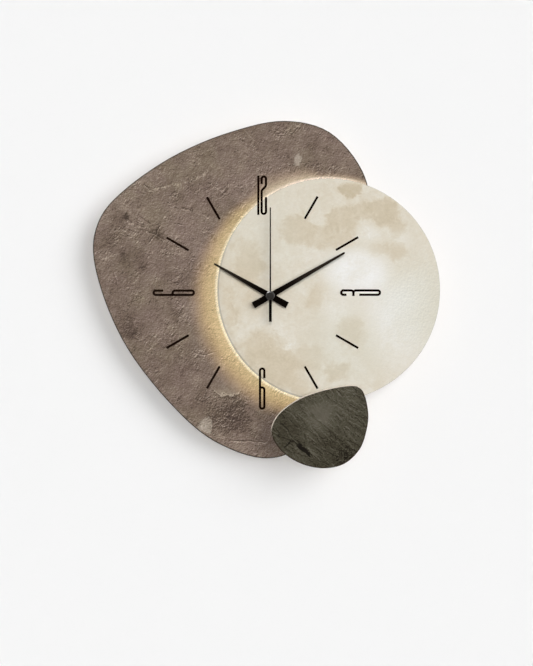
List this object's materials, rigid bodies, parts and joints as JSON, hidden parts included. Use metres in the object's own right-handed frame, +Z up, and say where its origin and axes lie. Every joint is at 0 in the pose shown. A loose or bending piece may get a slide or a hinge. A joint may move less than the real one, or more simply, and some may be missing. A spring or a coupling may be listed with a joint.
{
  "type": "led wall clock",
  "caption": "Wall clock of layered boards: a rounded stone-faced back, a lit moon disc with hands and a slate pebble; quartz train and light control behind.",
  "frame": {"origin": "the nail's place on the wall, level with the edge that the hanger rests by", "axes": "+Z up, +Y into the wall, +X to the viewer's right"},
  "size_m": [0.3996, 0.0535, 0.3999],
  "materials": {
    "stone_print": "fibreboard with a matt printed brown stone face",
    "moon_print": "fibreboard with a satin printed moon face",
    "slate_print": "fibreboard with a matt printed slate face",
    "white_board": "fibreboard painted white",
    "hand_paint": "aluminium painted satin black",
    "cap_paint": "dark grey gloss paint",
    "black_plastic": "moulded black",
    "grey_plastic": "moulded grey",
    "gear_plastic": "natural acetal",
    "brass": "turned",
    "steel": "zinc plated",
    "magnet": "sintered magnet",
    "copper_winding": "enamelled copper wire",
    "circuit_green": "glass fibre laminate",
    "tape_white": "flexible circuit with chips",
    "rubber": "moulded rubber",
    "cell_jacket": "printed steel can, plain",
    "pouch_foil": "laminated foil pouch",
    "lead_jacket": "insulated wire",
    "lamp_lens": "tinted lens"
  },
  "bodies": {
    "clock": {"back_board": "stone_print", "light_carrier": "white_board", "moon_disc": "moon_print", "slate_pebble": "slate_print", "pebble_spacer": "white_board", "pebble_standoff": "white_board", "light_tape": "tape_white", "light_lead": "lead_jacket", "lead_grommet": "rubber", "light_case": "black_plastic", "light_case_lid": "black_plastic", "light_case_screw_left": "steel", "light_case_screw_right": "steel", "light_circuit": "circuit_green", "lithium_cell": "pouch_foil", "charging_inlet": "steel", "push_switch": "grey_plastic", "charge_lamp": "lamp_lens", "sawtooth_hanger": "steel", "hanger_screw_left": "steel", "hanger_screw_right": "steel", "wall_bumper_upper_left": "rubber", "wall_bumper_upper_right": "rubber", "wall_bumper_lower_left": "rubber", "wall_bumper_lower_right": "rubber", "carrier_screw_top": "steel", "carrier_screw_left": "steel", "carrier_screw_bottom": "steel", "carrier_screw_right": "steel", "movement_case": "black_plastic", "movement_cover": "black_plastic", "movement_screw_left": "steel", "movement_screw_right": "steel", "train_bridge": "black_plastic", "threaded_bush": "brass", "bush_washer": "steel", "bush_nut": "brass", "movement_gasket": "rubber", "drive_coil": "copper_winding", "stator": "steel", "movement_circuit": "circuit_green", "quartz_crystal": "steel", "cell_contact_plus": "steel", "cell_contact_minus": "steel", "dry_cell": "cell_jacket"},
    "second_hand": {"second_hand": "hand_paint", "hand_cap": "cap_paint", "seconds_wheel": "gear_plastic"},
    "minute_hand": {"minute_hand": "hand_paint", "centre_wheel": "gear_plastic"},
    "hour_hand": {"hour_hand": "hand_paint", "hour_wheel": "gear_plastic"},
    "third_wheel": {"third_wheel": "gear_plastic"},
    "fifth_wheel": {"fifth_wheel": "gear_plastic"},
    "rotor": {"rotor": "magnet"},
    "motion_wheel": {"motion_wheel": "gear_plastic"},
    "setting_knob": {"setting_knob": "grey_plastic"},
    "light_button": {"light_button": "grey_plastic"}
  },
  "joints": [
    {"name": "second_hand_turn", "type": "hinge", "parent": "clock", "child": "second_hand", "pos_m": [0, 0, -0.135], "axis": [0, 1, 0], "continuous": true},
    {"name": "minute_hand_turn", "type": "hinge", "parent": "clock", "child": "minute_hand", "pos_m": [0, 0, -0.135], "axis": [0, 1, 0], "continuous": true},
    {"name": "hour_hand_turn", "type": "hinge", "parent": "clock", "child": "hour_hand", "pos_m": [0, 0, -0.135], "axis": [0, 1, 0], "continuous": true},
    {"name": "third_wheel_turn", "type": "hinge", "parent": "clock", "child": "third_wheel", "pos_m": [0.00513, 0, -0.12612], "axis": [0, 1, 0], "continuous": true},
    {"name": "fifth_wheel_turn", "type": "hinge", "parent": "clock", "child": "fifth_wheel", "pos_m": [-0.00709, 0, -0.13375], "axis": [0, 1, 0], "continuous": true},
    {"name": "rotor_turn", "type": "hinge", "parent": "clock", "child": "rotor", "pos_m": [-0.01024, 0, -0.12829], "axis": [0, 1, 0], "continuous": true},
    {"name": "motion_wheel_turn", "type": "hinge", "parent": "clock", "child": "motion_wheel", "pos_m": [0.0084, 0, -0.135], "axis": [0, 1, 0], "continuous": true},
    {"name": "setting_knob_turn", "type": "hinge", "parent": "clock", "child": "setting_knob", "pos_m": [0.0168, 0, -0.135], "axis": [0, 1, 0], "continuous": true},
    {"name": "light_button_push", "type": "slide", "parent": "clock", "child": "light_button", "axis": [1, 0, 0], "range_m": [0, 0.0007], "stiffness_N_per_m": 1500, "springref_m": -0.0003}
  ],
  "couplings": [
    {"joint": "minute_hand_turn", "follows": "second_hand_turn", "ratio": 0.016667},
    {"joint": "hour_hand_turn", "follows": "second_hand_turn", "ratio": 0.0013889},
    {"joint": "third_wheel_turn", "follows": "second_hand_turn", "ratio": -0.125},
    {"joint": "fifth_wheel_turn", "follows": "second_hand_turn", "ratio": -5},
    {"joint": "rotor_turn", "follows": "second_hand_turn", "ratio": 30},
    {"joint": "motion_wheel_turn", "follows": "second_hand_turn", "ratio": -0.0055556},
    {"joint": "setting_knob_turn", "follows": "second_hand_turn", "ratio": 0.016667}
  ]
}
